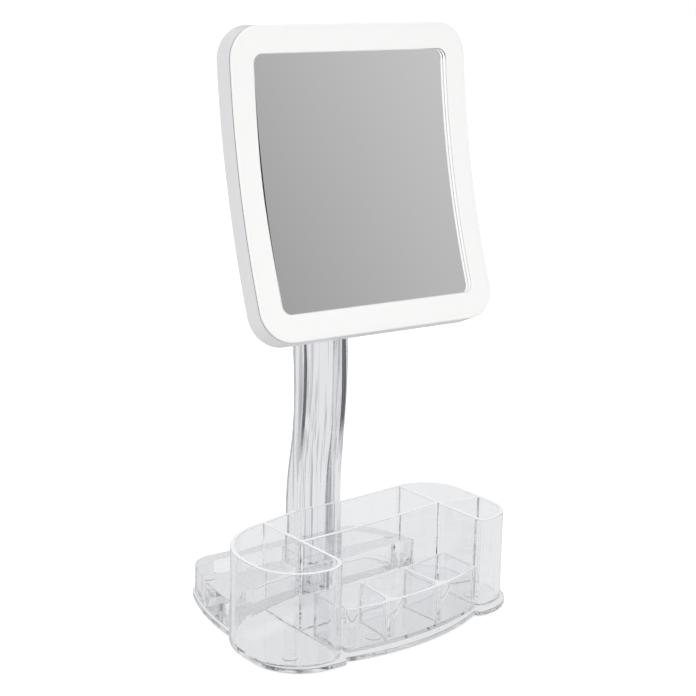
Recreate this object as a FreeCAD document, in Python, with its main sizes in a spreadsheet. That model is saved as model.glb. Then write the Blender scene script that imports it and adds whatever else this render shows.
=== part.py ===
import FreeCAD, Part
import Sketcher
import math
import os

# Vanity mirror with a drawer: a lit, bent mirror head on a clear post, which stands behind a
# clear organiser with a pull-out tray.  Millimetres, +Z up, +X to the right, the user at -Y.
# The origin is the middle of the base's footprint, on the table.

SIZES = {
    # Organiser: walls, floor and levels
    "wall": 2.7,
    "floor_thickness": 2.5,
    "pad_proud": 0.5,
    "tall_rim": 58.0,
    "ledge_rim": 20.0,
    # Organiser: plan of the tall walls
    "base_half_width": 96.0,
    "cup_width": 48.5,
    "cup_front": 71.6,
    "cup_front_round": 30.0,
    "cup_corner_round": 15.5,
    "lobe_width": 32.0,
    "lobe_front": 51.8,
    "lobe_round": 26.0,
    "lobe_corner_round": 4.0,
    "bay_back_left": 24.0,
    "bay_back_right": 9.5,
    "bay_back_bend": 700.0,
    "back_left_y": 6.0,
    "back_left_round": 52.0,
    "back_flat_half": 19.0,
    "back_flat_y": 26.8,
    "back_right_y": 36.0,
    "back_right_round": 26.0,
    "cross_wall_left": 8.0,
    "cross_wall_right": 13.0,
    # Organiser: foot plate and rear ledge
    "foot_front": 75.5,
    "foot_left_round": 30.0,
    "foot_cup_notch": 4.0,
    "foot_bay_left": 71.5,
    "foot_bay_bend": 156.0,
    "foot_bay_right": 56.7,
    "foot_lobe_notch": 6.5,
    "foot_lobe_front": 60.2,
    "foot_lobe_round": 33.0,
    "ledge_half_front": 86.2,
    "ledge_front_y": -6.0,
    "ledge_half_back": 64.2,
    "ledge_back": 75.5,
    "ledge_bend": 190.0,
    "ledge_round": 20.0,
    "ledge_lip": 3.0,
    "ledge_pocket_front_rim": 19.2,
    "ledge_pocket_back_rim": 10.2,
    "ledge_pocket_end_rim": 9.5,
    "ledge_pocket_round": 4.0,
    # Drawer tray
    "tray_left_gap": 0.4,
    "tray_right_gap": 2.7,
    "tray_rim": 29.5,
    "tray_wall": 2.2,
    "tray_floor": 2.0,
    "tray_front_left": 67.4,
    "tray_front_right": 52.8,
    "tray_front_bend": 200.0,
    "tray_back_left": 34.0,
    "tray_back_right": 20.0,
    "tray_back_bend": 330.0,
    "tray_corner_round": 3.0,
    "divider_left_front": 16.5,
    "divider_left_back": 13.8,
    "divider_right_front": 24.3,
    "divider_right_back": 22.8,
    "cell_round": 5.5,
    "slide_gap": 0.1,
    # Post
    "post_half_width": 16.5,
    "post_front": 28.6,
    "post_depth": 12.5,
    "post_wall": 2.4,
    "post_side": 3.6,
    "post_foot_height": 14.0,
    "post_cap_height": 8.0,
    "post_top": 256.0,
    "front_wave": 4.6,
    "front_wave_start": 62.0,
    "front_wave_end": 228.0,
    "back_wave": 7.1,
    "back_wave_start": 54.0,
    "back_wave_end": 202.0,
    "socket_gap": 0.1,
    "socket_wall": 3.0,
    # Head: bent about an axis in front of it
    "head_tilt": 13.4,
    "bend_radius": 526.0,
    "head_width": 167.0,
    "head_height": 178.3,
    "head_round": 19.5,
    "head_depth": 16.9,
    "head_back_round": 3.0,
    "shell_wall": 2.0,
    "groove": 0.6,
    "lip_inset": 1.0,
    "bezel_edge": 1.3,
    "bezel_depth": 3.2,
    "bezel_fit": 0.3,
    "bezel_front_round": 0.9,
    "frame_side": 15.0,
    "frame_end": 15.95,
    "view_round": 5.5,
    "mirror_overlap": 2.0,
    "mirror_gap": 0.2,
    "mirror_set_back": 2.4,
    "mirror_thickness": 1.5,
    "tape_thickness": 0.5,
    "tape_inset": 4.0,
    "carrier_overlap": 3.0,
    "carrier_wall": 1.5,
    "seat_gap": 0.05,
    # Light strips
    "strip_width": 5.0,
    "strip_thickness": 0.8,
    "led_length": 3.5,
    "led_width": 2.8,
    "led_height": 1.4,
    "led_pitch": 14.0,
    # Hinge
    "pivot_y": 17.62,
    "pivot_z": 260.33,
    "pivot_depth": 26.4,
    "pin_diameter": 5.0,
    "pin_head_diameter": 9.0,
    "pin_head_height": 1.8,
    "pin_fit": 0.05,
    "pin_tail": 1.0,
    "knuckle_half_width": 8.4,
    "knuckle_radius": 5.5,
    "knuckle_foot_width": 32.0,
    "knuckle_foot_height": 30.0,
    "knuckle_foot_thickness": 3.0,
    "washer_thickness": 0.6,
    "washer_diameter": 11.0,
    "washer_gap": 0.02,
    "ear_thickness": 4.0,
    "ear_radius": 6.0,
    "bracket_plate": 3.0,
    "nut_flats": 8.0,
    "nut_height": 4.0,
    # Screws
    "screw_diameter": 3.0,
    "screw_head_diameter": 5.6,
    "screw_head_height": 1.8,
    "screw_slot_width": 0.6,
    "screw_gap": 0.1,
    "thread_gap": 0.01,
    "post_screw_length": 10.0,
    "post_screw_x": 9.0,
    "bracket_screw_length": 8.0,
    "bracket_screw_x": 4.5,
    "knuckle_screw_length": 8.0,
    "knuckle_screw_x": 12.0,
    "knuckle_screw_z": 10.0,
    "housing_screw_length": 7.0,
    "housing_screw_inset": 6.8,
    "boss_diameter": 7.0,
    # Battery box, on the back above the hinge
    "box_above_foot": 3.0,
    "box_width": 60.0,
    "box_tall": 48.0,
    "box_wall": 1.6,
    "box_floor": 1.2,
    "box_fit": 0.3,
    "door_thickness": 1.5,
    "door_gap": 0.15,
    "door_overlap": 2.0,
    "door_lip": 1.2,
    "grip_width": 15.0,
    "grip_height": 1.5,
    "grip_pitch": 3.0,
    "cell_diameter": 10.5,
    "cell_length": 44.5,
    "cell_pitch": 10.6,
    "cell_gap": 0.3,
    "cell_nipple_diameter": 3.8,
    "cell_nipple_length": 0.8,
    "contact_thickness": 0.5,
    "spring_wide": 6.5,
    "spring_narrow": 3.5,
    # Switch
    "board_inside_right": 43.5,
    "board_above_bottom": 37.15,
    "board_width": 34.0,
    "board_tall": 26.0,
    "board_thickness": 1.2,
    "board_screw_x": 13.0,
    "board_screw_length": 4.5,
    "switch_side": 6.0,
    "switch_height": 2.2,
    "button_diameter": 9.0,
    "button_proud": 1.2,
    "button_gap": 0.3,
    "button_flange": 1.5,
    "button_flange_thickness": 0.8,
    "button_travel": 0.6,
    # Foot pads
    "foot_pad_diameter": 9.0,
    "foot_pad_thickness": 1.2,
    "foot_pad_gap": 0.1,
    "foot_pad_inset": 20.0,
}

DEGREES_PER_RADIAN = 57.29578
SIXTH_TURN = 60.0
CELLS = 4
AXIS_X = FreeCAD.Vector(1, 0, 0)
AXIS_Z = FreeCAD.Vector(0, 0, 1)
NEAR = 1e-4

doc = FreeCAD.newDocument("vanity_mirror")


class Size:
    """A number together with the sheet formula that it comes from."""

    def __init__(self, value, formula):
        self.value = value
        self.formula = formula

    def __add__(self, other):
        other = as_size(other)
        return Size(self.value + other.value, "(%s + %s)" % (self.formula, other.formula))

    def __sub__(self, other):
        other = as_size(other)
        return Size(self.value - other.value, "(%s - %s)" % (self.formula, other.formula))

    def __mul__(self, other):
        other = as_size(other)
        return Size(self.value * other.value, "(%s * %s)" % (self.formula, other.formula))

    def __truediv__(self, other):
        other = as_size(other)
        return Size(self.value / other.value, "(%s / %s)" % (self.formula, other.formula))

    def __neg__(self):
        return Size(-self.value, "(0 - %s)" % self.formula)

    def __radd__(self, other):
        return as_size(other) + self

    def __rsub__(self, other):
        return as_size(other) - self


def as_size(number):
    return number if isinstance(number, Size) else Size(float(number), "%.6g" % number)


def sine(angle):
    return Size(math.sin(math.radians(angle.value)), "sin(%s)" % angle.formula)


def cosine(angle):
    return Size(math.cos(math.radians(angle.value)), "cos(%s)" % angle.formula)


class Sheet:
    """The driving dimensions, read by name."""

    def __init__(self, sizes):
        self.cells = doc.addObject("Spreadsheet::Sheet", "sizes")
        for row, (name, number) in enumerate(sizes.items(), start=1):
            self.cells.set("A%d" % row, name)
            self.cells.set("B%d" % row, "%.6g" % number)
            self.cells.setAlias("B%d" % row, name)
        doc.recompute()

    def __getattr__(self, name):
        return Size(float(self.cells.get(name)), "sizes." + name)


d = Sheet(SIZES)


# ---------------------------------------------------------------- building blocks

def bind(thing, path, size):
    thing.setExpression(path, as_size(size).formula)


def new_body(name):
    body = doc.addObject("PartDesign::Body", name)
    body.Label = name
    return body


def sketch_on(body, role, offset=0.0):
    """An empty sketch on one of the body's own origin planes, shifted along its normal."""
    sketch = body.newObject("Sketcher::SketchObject", body.Name + "_sketch")
    plane = [feature for feature in body.Origin.OriginFeatures if feature.Role == role][0]
    sketch.AttachmentSupport = [(plane, "")]
    sketch.MapMode = "FlatFace"
    level = FreeCAD.Vector(0, 0, as_size(offset).value)
    sketch.AttachmentOffset = FreeCAD.Placement(level, FreeCAD.Rotation())
    bind(sketch, "AttachmentOffset.Base.z", offset)
    return sketch


def fix(sketch, kind, geometry, place, size):
    """Hold one coordinate of a point at its size."""
    size = as_size(size)
    index = sketch.addConstraint(Sketcher.Constraint(kind, -1, 1, geometry, place, size.value))
    bind(sketch, "Constraints[%d]" % index, size)


def arc_between(start, end, radius):
    """An arc that bulges to the right of the way from start to end, or to the left if radius < 0."""
    half = (end - start) * 0.5
    left = FreeCAD.Vector(-half.y, half.x, 0).normalize()
    rise = math.sqrt(radius * radius - half.Length ** 2)
    centre = start + half + left * math.copysign(rise, radius)
    first, last = (start, end) if radius > 0 else (end, start)
    angles = [math.atan2(point.y - centre.y, point.x - centre.x) for point in (first, last)]
    return Part.ArcOfCircle(Part.Circle(centre, AXIS_Z, abs(radius)), angles[0], angles[1])


def draw_loop(sketch, corners):
    """A closed outline.  A corner is (x, y), or (x, y, radius of the arc to the next corner)."""
    points = [FreeCAD.Vector(as_size(c[0]).value, as_size(c[1]).value, 0) for c in corners]
    ends = []
    for number, corner in enumerate(corners):
        start, end = points[number], points[(number + 1) % len(points)]
        if len(corner) == 3:
            radius = as_size(corner[2])
            geometry = sketch.addGeometry(arc_between(start, end, radius.value), False)
            ends.append((geometry, 1, 2) if radius.value > 0 else (geometry, 2, 1))
        else:
            geometry = sketch.addGeometry(Part.LineSegment(start, end), False)
            ends.append((geometry, 1, 2))
    for number, corner in enumerate(corners):
        geometry, first, last = ends[number]
        following = ends[(number + 1) % len(ends)]
        sketch.addConstraint(Sketcher.Constraint("Coincident", geometry, last, following[0], following[1]))
    for number, corner in enumerate(corners):
        geometry, first, last = ends[number]
        fix(sketch, "DistanceX", geometry, first, corner[0])
        fix(sketch, "DistanceY", geometry, first, corner[1])
        if len(corner) == 3:
            radius = as_size(corner[2])
            radius = radius if radius.value > 0 else -radius
            index = sketch.addConstraint(Sketcher.Constraint("Radius", geometry, radius.value))
            bind(sketch, "Constraints[%d]" % index, radius)


def draw_circle(sketch, x, y, diameter):
    centre = FreeCAD.Vector(as_size(x).value, as_size(y).value, 0)
    circle = Part.Circle(centre, AXIS_Z, as_size(diameter).value / 2)
    geometry = sketch.addGeometry(circle, False)
    fix(sketch, "DistanceX", geometry, 3, x)
    fix(sketch, "DistanceY", geometry, 3, y)
    index = sketch.addConstraint(Sketcher.Constraint("Diameter", geometry, as_size(diameter).value))
    bind(sketch, "Constraints[%d]" % index, diameter)


def rectangle(x0, x1, y0, y1):
    return [(x0, y0), (x1, y0), (x1, y1), (x0, y1)]


def pad(body, sketch, length, symmetric=False):
    feature = body.newObject("PartDesign::Pad", body.Name + "_pad")
    feature.Profile = sketch
    feature.SideType = "Symmetric" if symmetric else "One side"
    bind(feature, "Length", length)
    doc.recompute()
    return feature


def pocket(body, sketch, length, upwards=False):
    """Cut the sketch's outline down from its plane, or up from it."""
    before = body.Shape.Volume
    feature = body.newObject("PartDesign::Pocket", body.Name + "_pocket")
    feature.Profile = sketch
    feature.Reversed = upwards
    bind(feature, "Length", length)
    doc.recompute()
    if not body.Shape.Volume < before - NEAR:
        raise ValueError("a pocket of %s cuts nothing" % body.Name)
    return feature


def fillet(body, edges, radius):
    feature = body.newObject("PartDesign::Fillet", body.Name + "_fillet")
    feature.Base = (body.Tip if body.Tip is not feature else feature.BaseFeature, edges)
    bind(feature, "Radius", radius)
    body.Tip = feature
    doc.recompute()
    return feature


def upright_edges(shape, x, y):
    """The names of the edges that stand at one place of the plan."""
    names = []
    for number, edge in enumerate(shape.Edges, start=1):
        ends = [vertex.Point for vertex in edge.Vertexes]
        if len(ends) == 2 and all(math.hypot(end.x - x, end.y - y) < NEAR for end in ends):
            names.append("Edge%d" % number)
    return names


def round_uprights(body, corners):
    """Round the body's upright edges, each corner (x, y, radius), where it stands."""
    for x, y, radius in corners:
        edges = upright_edges(body.Shape, as_size(x).value, as_size(y).value)
        fillet(body, edges, radius)


def prism(name, corners, bottom, height, rounds=()):
    """A body with an upright outline from one level up."""
    body = new_body(name)
    sketch = sketch_on(body, "XY_Plane", bottom)
    draw_loop(sketch, corners)
    pad(body, sketch, height)
    round_uprights(body, rounds)
    return body


def cut(name, base, tool):
    result = doc.addObject("Part::Cut", name)
    result.Label = name
    result.Base = base
    result.Tool = tool
    return result


def fuse(name, pieces):
    result = doc.addObject("Part::MultiFuse", name)
    result.Label = name
    result.Shapes = pieces
    result.Refine = True
    return result


def group(name, pieces):
    """Several separate solids kept as one node."""
    result = doc.addObject("Part::Compound", name)
    result.Label = name
    result.Links = pieces
    return result


def place(thing, x, y, z, angle=0.0):
    """Put a piece at a point, turned about an axis along X."""
    x, y, z, angle = as_size(x), as_size(y), as_size(z), as_size(angle)
    base = FreeCAD.Vector(x.value, y.value, z.value)
    thing.Placement = FreeCAD.Placement(base, FreeCAD.Rotation(AXIS_X, angle.value))
    bind(thing, "Placement.Base.x", x)
    bind(thing, "Placement.Base.y", y)
    bind(thing, "Placement.Base.z", z)
    bind(thing, "Placement.Rotation.Angle", angle)
    return thing


# ---------------------------------------------------------------- organiser

base_floor_top = d.pad_proud + d.floor_thickness
bay_left = d.cup_width - d.base_half_width
bay_right = d.base_half_width - d.lobe_width


def tall_outline():
    """The outer plan of the tall walls: cup, compartments behind the tray, and right lobe."""
    side = d.base_half_width
    return [
        (-side, -d.cup_front),
        (bay_left, -d.cup_front),
        (bay_left, -d.bay_back_left, d.bay_back_bend),
        (bay_right, -d.bay_back_right),
        (bay_right, -d.lobe_front),
        (side, -d.lobe_front),
        (side, d.back_right_y),
        (d.back_flat_half, d.back_flat_y),
        (-d.back_flat_half, d.back_flat_y),
        (-side, d.back_left_y),
    ]


def tall_block(name):
    """The tall outline as one solid block, with its upright corners rounded."""
    side = d.base_half_width
    rounds = [
        (-side, -d.cup_front, d.cup_front_round),
        (bay_left, -d.cup_front, d.cup_corner_round),
        (bay_right, -d.lobe_front, d.lobe_corner_round),
        (side, -d.lobe_front, d.lobe_round),
        (side, d.back_right_y, d.back_right_round),
        (-side, d.back_left_y, d.back_left_round),
    ]
    return prism(name, tall_outline(), d.pad_proud, d.tall_rim - d.pad_proud, rounds)


def tall_walls():
    """The block made into an open box with one even wall."""
    body = tall_block("tall_walls")
    top = [
        "Face%d" % number
        for number, face in enumerate(body.Shape.Faces, start=1)
        if abs(face.CenterOfMass.z - d.tall_rim.value) < NEAR
    ]
    shell = body.newObject("PartDesign::Thickness", "tall_shell")
    shell.Base = (body.Tip if body.Tip is not shell else shell.BaseFeature, top)
    shell.Reversed = True
    bind(shell, "Value", d.wall)
    body.Tip = shell
    doc.recompute()
    return body


def foot_plate():
    """The floor under everything in front of the ledge, with a notch at each end of the bay."""
    side = d.base_half_width
    cup_end = bay_left - d.foot_cup_notch
    cup_step = d.foot_front - d.foot_bay_left
    lobe_end = bay_right - d.foot_lobe_notch
    lobe_step = d.foot_lobe_front - d.foot_bay_right
    corners = [
        (-side, -d.foot_front),
        (cup_end - cup_step, -d.foot_front, cup_step),
        (cup_end, -d.foot_bay_left, d.foot_bay_bend),
        (lobe_end, -d.foot_bay_right, lobe_step),
        (lobe_end + lobe_step, -d.foot_lobe_front),
        (side, -d.foot_lobe_front),
        (side, d.back_right_y),
        (d.back_flat_half, d.back_flat_y),
        (-d.back_flat_half, d.back_flat_y),
        (-side, d.back_left_y),
    ]
    rounds = [
        (-side, -d.foot_front, d.foot_left_round),
        (side, -d.foot_lobe_front, d.foot_lobe_round),
        (side, d.back_right_y, d.back_right_round),
        (-side, d.back_left_y, d.back_left_round),
    ]
    return prism("foot_plate", corners, d.pad_proud, d.floor_thickness, rounds)


def partitions():
    """The cup's back-right wall, the lobe's left wall and the lobe's cross wall."""
    into = d.wall / 2
    height = d.tall_rim - d.pad_proud
    side = d.base_half_width
    outlines = {
        "cup_wall": rectangle(
            bay_left - d.wall, bay_left, -d.bay_back_left - into, back_wall_y(bay_left) - into
        ),
        "lobe_wall": rectangle(
            bay_right, bay_right + d.wall, -d.bay_back_right - into, back_wall_y(bay_right) - into
        ),
        "cross_wall": [
            (bay_right + into, -d.cross_wall_left - d.wall),
            (side - into, -d.cross_wall_right - d.wall),
            (side - into, -d.cross_wall_right),
            (bay_right + into, -d.cross_wall_left),
        ],
    }
    return [prism(name, corners, d.pad_proud, height) for name, corners in outlines.items()]


def back_wall_y(x):
    """The tall back wall's outer face at x, left or right of its flat middle."""
    sloped = d.base_half_width - d.back_flat_half
    end = d.back_right_y if x.value > 0 else d.back_left_y
    distance = (x if x.value > 0 else -x) - d.back_flat_half
    return d.back_flat_y + distance * (end - d.back_flat_y) / sloped


def ledge_block(name, height, front_inset, back_inset):
    """The ledge's bowed outline as one solid block, drawn in at the sides."""
    front, back = d.ledge_front_y, d.ledge_back
    half_front, half_back = d.ledge_half_front - front_inset, d.ledge_half_back - back_inset
    outline = [
        (-half_front, front),
        (half_front, front, d.ledge_bend),
        (half_back, back),
        (-half_back, back, d.ledge_bend),
    ]
    corner = d.ledge_round - back_inset
    rounds = [(half_back, back, corner), (-half_back, back, corner)]
    return prism(name, outline, d.pad_proud, height, rounds)


def rear_ledge():
    """The low ledge behind the tall walls, with an open pocket each side of its middle rib."""
    foot = ledge_block("ledge_foot", d.floor_thickness, as_size(0.0), as_size(0.0))
    body = ledge_block("ledge_walls", d.ledge_rim - d.pad_proud, d.ledge_lip, d.ledge_lip / 2)
    half_rib = d.socket_wall / 2
    near = d.post_front + d.post_depth + d.socket_gap + d.socket_wall
    far = d.ledge_back - d.ledge_pocket_end_rim
    for sign in (-1.0, 1.0):
        near_x = (d.ledge_half_front - d.ledge_pocket_front_rim) * sign
        far_x = (d.ledge_half_back - d.ledge_pocket_back_rim) * sign
        sketch = sketch_on(body, "XY_Plane", d.ledge_rim)
        draw_loop(sketch, [(half_rib * sign, near), (near_x, near), (far_x, far), (half_rib * sign, far)])
        pocket(body, sketch, d.ledge_rim - base_floor_top)
        round_uprights(body, [(near_x, near, d.ledge_pocket_round), (far_x, far, d.ledge_pocket_round)])
    solid = fuse("ledge_solid", [foot, body])
    return cut("ledge_behind_walls", solid, tall_block("tall_keep_out"))


def post_socket():
    """The hole in the ledge that holds the post's foot."""
    side = d.post_half_width + d.socket_gap
    return prism(
        "post_socket",
        rectangle(-side, side, d.post_front - d.socket_gap, d.post_front + d.post_depth + d.socket_gap),
        base_floor_top,
        d.tall_rim,
    )


def foot_pad_places():
    inset = d.foot_pad_inset
    side = d.base_half_width - inset
    return [
        (-side, inset - d.cup_front),
        (-inset, inset - d.foot_front),
        (side, inset - d.lobe_front),
        (-d.ledge_half_back, d.ledge_back - inset),
        (d.ledge_half_back, d.ledge_back - inset),
    ]


def round_holes(name, places, diameter, bottom, height):
    """Upright round tools, one at each place."""
    bars = []
    for number, (x, y) in enumerate(places):
        body = new_body("%s_%d" % (name, number + 1))
        sketch = sketch_on(body, "XY_Plane", bottom)
        draw_circle(sketch, x, y, diameter)
        pad(body, sketch, height)
        bars.append(body)
    return group(name, bars)


def organiser_base():
    """The clear organiser: foot plate, tall walls, partitions and rear ledge in one moulding."""
    solid = fuse("base_solid", [foot_plate(), tall_walls(), rear_ledge()] + partitions())
    tools = group("base_tools", [
        post_socket(),
        round_holes(
            "screw_holes", post_screw_places(), d.screw_diameter + d.screw_gap * 2, 0.0, base_floor_top
        ),
        round_holes(
            "head_sinks", post_screw_places(), d.screw_head_diameter + d.screw_gap * 2, 0.0,
            d.pad_proud + d.screw_head_height,
        ),
        round_holes(
            "pad_sinks", foot_pad_places(), d.foot_pad_diameter + d.foot_pad_gap * 2, 0.0,
            d.foot_pad_thickness,
        ),
    ])
    return cut("organiser_base", solid, tools)


def foot_pads():
    """Thin clear bumpers let into the underside."""
    return round_holes("foot_pads", foot_pad_places(), d.foot_pad_diameter, 0.0, d.foot_pad_thickness)


# ---------------------------------------------------------------- drawer tray

tray_left = bay_left + d.tray_left_gap
tray_right = bay_right - d.tray_right_gap
tray_bottom = base_floor_top + d.slide_gap


def bent_y(x, left_y, right_y, bend):
    """The y of a bowed wall at x: its chord, less the arc's rise there."""
    along = (x - tray_left) / (tray_right - tray_left)
    chord = left_y + (right_y - left_y) * along
    return chord - (x - tray_left) * (tray_right - x) / (bend * 2)


def tray_cells():
    """The inner left and right sides of each cell, as pairs of their x at the front and the back."""
    half = d.tray_wall / 2
    ends = [tray_left + d.tray_wall, tray_right - d.tray_wall]
    dividers = [
        (-d.divider_left_front, -d.divider_left_back),
        (d.divider_right_front, d.divider_right_back),
    ]
    lefts = [(ends[0], ends[0])] + [(front + half, back + half) for front, back in dividers]
    rights = [(front - half, back - half) for front, back in dividers] + [(ends[1], ends[1])]
    return list(zip(lefts, rights))


def drawer_tray():
    """Three cells in one low clear moulding, bowed to follow the foot plate's front."""
    front_left, front_right = -d.tray_front_left, -d.tray_front_right
    back_left, back_right = -d.tray_back_left, -d.tray_back_right
    corners = [
        (tray_left, front_left, d.tray_front_bend),
        (tray_right, front_right),
        (tray_right, back_right, -d.tray_back_bend),
        (tray_left, back_left),
    ]
    rounds = [(corner[0], corner[1], d.tray_corner_round) for corner in corners]
    body = prism("drawer_tray", corners, tray_bottom, d.tray_rim - tray_bottom, rounds)
    for left, right in tray_cells():
        front = [
            bent_y(x, front_left, front_right, d.tray_front_bend) + d.tray_wall for x in (left[0], right[0])
        ]
        back = [
            bent_y(x, back_left, back_right, d.tray_back_bend) - d.tray_wall for x in (left[1], right[1])
        ]
        sketch = sketch_on(body, "XY_Plane", d.tray_rim)
        draw_loop(sketch, [
            (left[0], front[0], d.tray_front_bend),
            (right[0], front[1]),
            (right[1], back[1], -d.tray_back_bend),
            (left[1], back[0]),
        ])
        pocket(body, sketch, d.tray_rim - tray_bottom - d.tray_floor)
        round_uprights(body, [
            (left[0], front[0], d.cell_round), (right[0], front[1], d.cell_round),
            (left[1], back[0], d.tray_wall), (right[1], back[1], d.tray_wall),
        ])
    return body


# ---------------------------------------------------------------- post

def wave(face_y, start, end, depth, sense):
    """Corners along a face that dips towards the front and comes back: four equal tangent arcs."""
    step = (end - start) / 4
    half = depth / 2
    radius = (step * step + half * half) / depth * float(sense)
    return [
        (face_y, start, radius),
        (face_y - half, start + step, -radius),
        (face_y - depth, start + step * 2, -radius),
        (face_y - half, start + step * 3, radius),
        (face_y, end),
    ]


def post_back():
    return d.post_front + d.post_depth


def stand_post():
    """A waisted clear post: a channel open at the back, with a solid foot and cap."""
    foot_top = base_floor_top + d.post_foot_height
    cap_bottom = d.post_top - d.post_cap_height
    front, back = d.post_front, post_back()
    body = new_body("stand_post")
    sketch = sketch_on(body, "YZ_Plane")
    draw_loop(
        sketch,
        [(front, base_floor_top), (back, base_floor_top)]
        + wave(back, d.back_wave_start, d.back_wave_end, d.back_wave, 1)
        + [(back, d.post_top), (front, d.post_top)]
        + wave(front, d.front_wave_end, d.front_wave_start, d.front_wave, -1),
    )
    pad(body, sketch, d.post_half_width * 2, symmetric=True)
    inner = front + d.post_wall
    behind = back + d.post_wall
    sketch = sketch_on(body, "YZ_Plane", d.post_side - d.post_half_width)
    draw_loop(
        sketch,
        [(inner, foot_top), (behind, foot_top), (behind, cap_bottom), (inner, cap_bottom)]
        + wave(inner, d.front_wave_end, d.front_wave_start, d.front_wave, -1),
    )
    pocket(body, sketch, (d.post_half_width - d.post_side) * 2, upwards=True)
    for places, level, depth, upwards in (
        (post_screw_places(), base_floor_top, d.post_screw_length, True),
        (bracket_screw_places(), d.post_top, d.bracket_screw_length, False),
    ):
        sketch = sketch_on(body, "XY_Plane", level)
        for x, y in places:
            draw_circle(sketch, x, y, d.screw_diameter + d.thread_gap * 2)
        pocket(body, sketch, depth, upwards)
    return body


def screw(name, length):
    """A pan-head screw: its head stands up from z = 0 and its shank hangs down from there."""
    body = new_body(name)
    head = sketch_on(body, "XY_Plane")
    draw_circle(head, 0.0, 0.0, d.screw_head_diameter)
    pad(body, head, d.screw_head_height)
    slot = sketch_on(body, "XY_Plane", d.screw_head_height)
    half_long, half_wide = d.screw_diameter / 2, d.screw_slot_width / 2
    draw_loop(slot, rectangle(-half_long, half_long, -half_wide, half_wide))
    pocket(body, slot, d.screw_head_height / 2)
    shank = sketch_on(body, "XY_Plane", -length)
    draw_circle(shank, 0.0, 0.0, d.screw_diameter)
    pad(body, shank, length)
    return body


def screws_upright(name, places, level, length, downwards):
    """Upright screws, heads at the level, pointing down, or up from below."""
    pieces = []
    for number, (x, y) in enumerate(places, start=1):
        piece = screw("%s_%d" % (name, number), length)
        pieces.append(place(piece, x, y, level, 0.0 if downwards else 180.0))
    return group(name, pieces)


def post_screws():
    """Two screws from below that hold the post in its socket."""
    level = d.pad_proud + d.screw_head_height
    return screws_upright("post_screws", post_screw_places(), level, d.post_screw_length, False)


# ---------------------------------------------------------------- hinge bracket, on the post

def hinge_bracket():
    """Two ears that reach forward from a plate on the post's cap."""
    top = d.post_top + d.bracket_plate
    radius = d.ear_radius
    outline = [
        (d.pivot_y, d.pivot_z - radius),
        (d.post_front, d.post_top),
        (post_back(), d.post_top),
        (post_back(), top),
        (d.post_front + d.bracket_plate, d.pivot_z + radius),
        (d.pivot_y, d.pivot_z + radius, radius),
        (d.pivot_y - radius, d.pivot_z, radius),
    ]
    inside = ear_inside()
    body = new_body("hinge_bracket")
    sketch = sketch_on(body, "YZ_Plane")
    draw_loop(sketch, rectangle(d.post_front, post_back(), d.post_top, top))
    pad(body, sketch, (inside + d.ear_thickness) * 2, symmetric=True)
    for start in (inside, -inside - d.ear_thickness):
        sketch = sketch_on(body, "YZ_Plane", start)
        draw_loop(sketch, outline)
        pad(body, sketch, d.ear_thickness)
    bore = sketch_on(body, "YZ_Plane", -inside - d.ear_thickness)
    draw_circle(bore, d.pivot_y, d.pivot_z, d.pin_diameter + d.thread_gap * 2)
    pocket(body, bore, (inside + d.ear_thickness) * 2, upwards=True)
    holes = sketch_on(body, "XY_Plane", top)
    for x, y in bracket_screw_places():
        draw_circle(holes, x, y, d.screw_diameter + d.screw_gap * 2)
    pocket(body, holes, d.bracket_plate)
    return body


def ear_inside():
    return d.knuckle_half_width + d.washer_thickness


def post_screw_places():
    return [(d.post_screw_x * sign, d.post_front + d.post_depth / 2) for sign in (-1.0, 1.0)]


def bracket_screw_places():
    return [(d.bracket_screw_x * sign, d.post_front + d.post_depth / 2) for sign in (-1.0, 1.0)]


def bracket_screws():
    level = d.post_top + d.bracket_plate
    return screws_upright("bracket_screws", bracket_screw_places(), level, d.bracket_screw_length, True)


def hinge_pin():
    """The pivot: a flat-headed pin from the left, with room for its nut on the right."""
    outside = ear_inside() + d.ear_thickness
    body = new_body("hinge_pin")
    head = sketch_on(body, "YZ_Plane", -outside - d.pin_head_height)
    draw_circle(head, 0.0, 0.0, d.pin_head_diameter)
    pad(body, head, d.pin_head_height)
    shank = sketch_on(body, "YZ_Plane", -outside)
    draw_circle(shank, 0.0, 0.0, d.pin_diameter)
    pad(body, shank, outside * 2 + d.nut_height + d.pin_tail)
    return place(body, 0.0, d.pivot_y, d.pivot_z)


def hinge_nut():
    body = new_body("hinge_nut")
    outside = ear_inside() + d.ear_thickness
    radius = d.nut_flats / 2 / cosine(as_size(SIXTH_TURN / 2))
    turns = [as_size(SIXTH_TURN * number) for number in range(6)]
    corners = [(radius * cosine(turn), radius * sine(turn)) for turn in turns]
    sketch = sketch_on(body, "YZ_Plane", outside)
    draw_loop(sketch, corners)
    draw_circle(sketch, 0.0, 0.0, d.pin_diameter + d.thread_gap * 2)
    pad(body, sketch, d.nut_height)
    return place(body, 0.0, d.pivot_y, d.pivot_z)


def friction_washers():
    """A thin ring each side of the knuckle, which holds the mirror where it is put."""
    rings = []
    for number, start in enumerate((-ear_inside(), d.knuckle_half_width + d.washer_gap), start=1):
        ring = new_body("friction_washer_%d" % number)
        sketch = sketch_on(ring, "YZ_Plane", start)
        draw_circle(sketch, 0.0, 0.0, d.washer_diameter)
        draw_circle(sketch, 0.0, 0.0, d.pin_diameter + d.pin_fit * 2)
        pad(ring, sketch, d.washer_thickness - d.washer_gap)
        rings.append(place(ring, 0.0, d.pivot_y, d.pivot_z))
    return group("friction_washers", rings)


# ---------------------------------------------------------------- head
# Depths are counted from the front face at the middle of the head, positive to the back.
# Heights are counted along the front face's bend from its middle, positive to the top.

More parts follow.
